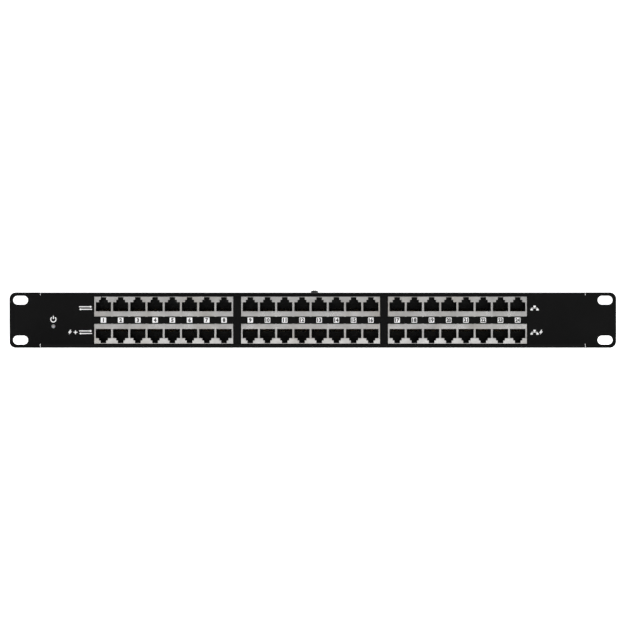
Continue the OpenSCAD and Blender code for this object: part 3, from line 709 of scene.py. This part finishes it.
# %% [markdown]
# ## Port numbers
#
# Between the rows runs a strip of panel just wide enough for numbers, each in black on a small white
# square, so one number serves the port above and the port below. The squares are slabs with round corners.
# The numerals start as text objects, are turned into meshes, and are then scaled to one height and
# narrowed where two of them would otherwise touch the square's edges.

# %% White squares
tile_size = (4.4 * mm, 4.2 * mm)
tile_corner = 0.45 * mm
for i, x in enumerate(port_x):
    outline = box_outline(x, 0.0, *tile_size, tile_corner)
    print_on_wall(f"number_tile_{i + 1:02d}", [outline], "white_print", face_y)
print("tiles", len(port_x))

# %% Numeral meshes
numeral_height = 3.2 * mm
numeral_width = 3.6 * mm
numeral_weight = 0.05
text_depth = 0.5


def numeral_mesh(text):
    """Closed mesh of a text in the XY plane round the origin, in its own size."""
    curve = bpy.data.curves.new("numeral", "FONT")
    curve.body = text
    curve.offset = numeral_weight
    curve.extrude = text_depth
    curve.resolution_u = 4
    holder = bpy.data.objects.new("numeral", curve)
    scene.collection.objects.link(holder)
    bpy.context.view_layer.update()
    evaluated = holder.evaluated_get(bpy.context.evaluated_depsgraph_get())
    mesh = bpy.data.meshes.new_from_object(evaluated)
    bpy.data.objects.remove(holder)
    return mesh


print("numerals", numeral_height / mm, "mm high and up to", numeral_width / mm, "mm wide")

# %% Numerals on the tiles
def print_numeral(number, x, z):
    """Numeral in dark ink round a place, a hair's breadth in front of its tile."""
    mesh = numeral_mesh(str(number))
    xs = [v.co.x for v in mesh.vertices]
    ys = [v.co.y for v in mesh.vertices]
    tall = numeral_height / (max(ys) - min(ys))
    wide = min(tall, numeral_width / (max(xs) - min(xs)))
    centre = Matrix.Translation((-(max(xs) + min(xs)) / 2, -(max(ys) + min(ys)) / 2, 0))
    size = Matrix.Diagonal((wide, tall, ink_thickness, 1))
    upright = Matrix.Rotation(math.pi / 2, 4, "X")
    depth = face_y - 2 * ink_gap - 1.5 * ink_thickness
    mesh.transform(Matrix.Translation((x, depth, z)) @ upright @ size @ centre)
    mesh.name = f"number_{number:02d}"
    return finish_piece(mesh.name, mesh, "dark_print")


numerals = [print_numeral(i + 1, x, 0.0) for i, x in enumerate(port_x)]
print("numerals", len(numerals), "faces", sum(len(n.data.polygons) for n in numerals))

# %% [markdown]
# ## Marks beside the rows
#
# Words would be a maker's choice, so plain signs tell the rows apart. On the left, two arrows stand for
# data, and a bolt, a plus and two arrows for power and data together. On the right, three boxes on a
# branching line stand for the network, with a bolt on the side that carries power. A ring with a bar
# stands over the lamp. Each sign is a few outlines made from bars, arcs and points, and is as high as the
# printing on such a panel.

# %% Arrows and data sign
stroke = 0.75 * mm
mark_height = 3.9 * mm
head_length = 1.6 * mm
head_half = 0.95 * mm
data_width = 10.4 * mm


def arrow(x, z, length, direction):
    """Arrow round a centre that points to +X or -X, as one outline."""
    reach, neck = length / 2, length / 2 - head_length
    upper_half = [(reach, 0), (neck, head_half), (neck, stroke / 2), (-reach, stroke / 2)]
    lower_half = [(px, -pz) for px, pz in upper_half[:0:-1]]
    return [(x + direction * px, z + pz) for px, pz in lower_half + upper_half]


def data_sign(x, z):
    """Two arrows, one each way."""
    rise = mark_height / 2 - head_half
    return [arrow(x, z + rise, data_width, 1), arrow(x, z - rise, data_width, -1)]


print("points in an arrow", len(arrow(0, 0, data_width, 1)))

# %% Bolt, plus and power sign
pole_mark = 2.4 * mm


def bolt_sign(x, z):
    """A lightning bolt."""
    points = [(0.2, 1.95), (-1.5, -0.4), (-0.35, -0.4), (-0.75, -1.95), (1.5, 0.6), (0.3, 0.6), (1.0, 1.95)]
    return [[(x + px * mm, z + pz * mm) for px, pz in points]]


def plus_sign(x, z, size=pole_mark):
    """Plus as one outline: the same three points in each quarter, turned."""
    s, t = size / 2, stroke / 2
    quarter = [(-s, -t), (-t, -t), (-t, -s)]
    points = []
    for turn in range(4):
        points += quarter
        quarter = [(-pz, px) for px, pz in quarter]
    return [[(x + px, z + pz) for px, pz in points]]


def power_sign(x, z):
    """Ring open at the top, with a bar through the opening."""
    ring = band((x, z), 2.1 * mm, stroke, 128, 412)
    return [ring, box_outline(x, z + 1.55 * mm, stroke, 2.5 * mm)]


print("outlines in the power sign", len(power_sign(0, 0)))

# %% Network sign
thin_line = 0.4 * mm


def network_sign(x, z):
    """Three boxes on one branching line."""
    box_w, box_h, reach = 1.9 * mm, 1.3 * mm, 2.3 * mm
    fall = (mark_height - box_h) / 2
    places = [(0, fall), (-reach, -fall), (reach, -fall)]
    boxes = [box_outline(x + px, z + pz, box_w, box_h) for px, pz in places]
    drop = fall - box_h / 2
    middle = (drop + thin_line / 2) / 2
    links = [box_outline(x, z, 2 * reach + thin_line, thin_line)]
    links += [box_outline(x, z + middle, thin_line, drop - thin_line / 2)]
    links += [box_outline(x + s * reach, z - middle, thin_line, drop - thin_line / 2) for s in (-1, 1)]
    return boxes + links


print("outlines in the network sign", len(network_sign(0, 0)))

# %% Print the signs on the face
left_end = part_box(blocks[0])[0].x - 1.8 * mm
right_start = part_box(blocks[-1])[1].x + 2.9 * mm
lamp_low, lamp_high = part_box("power_lamp")
lamp_centre = (lamp_low + lamp_high) / 2
data_x = left_end - data_width / 2
plus_x = left_end - 13.2 * mm
bolt_x = left_end - 17.6 * mm
network_x = right_start + 3.3 * mm
network_bolt_x = right_start + 8.4 * mm

power_and_data = data_sign(data_x, -row_z) + plus_sign(plus_x, -row_z, 3.0 * mm) + bolt_sign(bolt_x, -row_z)
face_marks = {
    "mark_power": power_sign(lamp_centre.x, lamp_centre.z + 5.5 * mm),
    "mark_data_left": data_sign(data_x, row_z),
    "mark_power_and_data_left": power_and_data,
    "mark_network_right": network_sign(network_x, row_z),
    "mark_power_right": network_sign(network_x, -row_z),
    "mark_bolt_right": bolt_sign(network_bolt_x, -row_z)}
for name, outlines in face_marks.items():
    print_on_wall(name, outlines, "white_print", face_y)
print("marks on the face", len(face_marks))

# %% [markdown]
# ## Marks on the rear wall
#
# An installer wires the panel from behind, so the rear wall says which pole is which. The barrel inlet has
# the common sign for a positive pin inside a negative sleeve, the terminal has a plus and a minus over its
# poles, and the earth screw has the earth sign. All are standard signs drawn from arcs and bars.

# %% Polarity and earth signs
sign_ring = 1.5 * mm
ring_distance = 7.0 * mm
earth_stroke = 0.45 * mm


def pole_ring(x, z):
    """Thin ring in two halves, with a minus in it."""
    halves = [band((x, z), sign_ring, thin_line, start, start + 180) for start in (-90, 90)]
    return halves + [box_outline(x, z, 1.5 * mm, thin_line)]


def polarity_sign(x, z):
    """Ringed minus, sleeve round a pin and ringed plus in a row, for a positive pin."""
    pin = arc((x, z), 0.55 * mm, 0, 340, 17)
    sleeve_ring = band((x, z), sign_ring, thin_line, 30, 330)
    marks = [pin, sleeve_ring] + pole_ring(x - ring_distance, z) + pole_ring(x + ring_distance, z)
    marks += [box_outline(x - ring_distance, z + s * 0.5 * mm, thin_line, 0.55 * mm) for s in (-1, 1)]
    marks += [box_outline(x - 3.1 * mm, z, 4.6 * mm, thin_line)]
    marks += [box_outline(x + 3.5 * mm, z, 3.2 * mm, thin_line)]
    return marks


def earth_sign(x, z):
    """Stem over three bars that grow shorter."""
    bars = [box_outline(x, z - i * 0.95 * mm, (4.2 - 1.3 * i) * mm, earth_stroke) for i in range(3)]
    return bars + [box_outline(x, z + 1.4 * mm, earth_stroke, 2.35 * mm)]


print("outlines in the polarity and earth signs", len(polarity_sign(0, 0)), len(earth_sign(0, 0)))

# %% Print the signs on the rear wall
def middle_of(name):
    low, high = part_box(name)
    return (low + high) / 2


inlet_x = middle_of("dc_jack_body").x
terminal_x = middle_of("terminal_plug").x
pole_half = (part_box("clamp_screw_right")[0].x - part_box("clamp_screw_left")[0].x) / 2
rear_mark_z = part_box("terminal_plug")[1].z + 3.4 * mm
earth_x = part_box("earth_washer")[1].x + 6 * mm

poles = plus_sign(terminal_x + pole_half, rear_mark_z)
poles += [box_outline(terminal_x - pole_half, rear_mark_z, pole_mark, stroke)]
rear_marks = {
    "mark_inlet_polarity": polarity_sign(inlet_x, rear_mark_z),
    "mark_terminal_poles": poles,
    "mark_earth": earth_sign(earth_x, middle_of("earth_washer").z)}
for name, outlines in rear_marks.items():
    print_on_wall(name, outlines, "white_print", wall_y, 1)
print("marks on the rear wall", len(rear_marks))

# %% [markdown] ## Size The shown box is measured against the box that CAD made, to see how far the added pieces reach past it.
# Nothing that was added may make the panel larger than
# CAD made it.

# %% Sizes
shown_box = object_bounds()
grown_low = max(c - s for c, s in zip(cad_box[0], shown_box[0]))
grown_high = max(s - c for c, s in zip(cad_box[1], shown_box[1]))
growth = max(grown_low, grown_high)
print("visual box outgrows the CAD box by", round(growth / mm, 3), "mm")
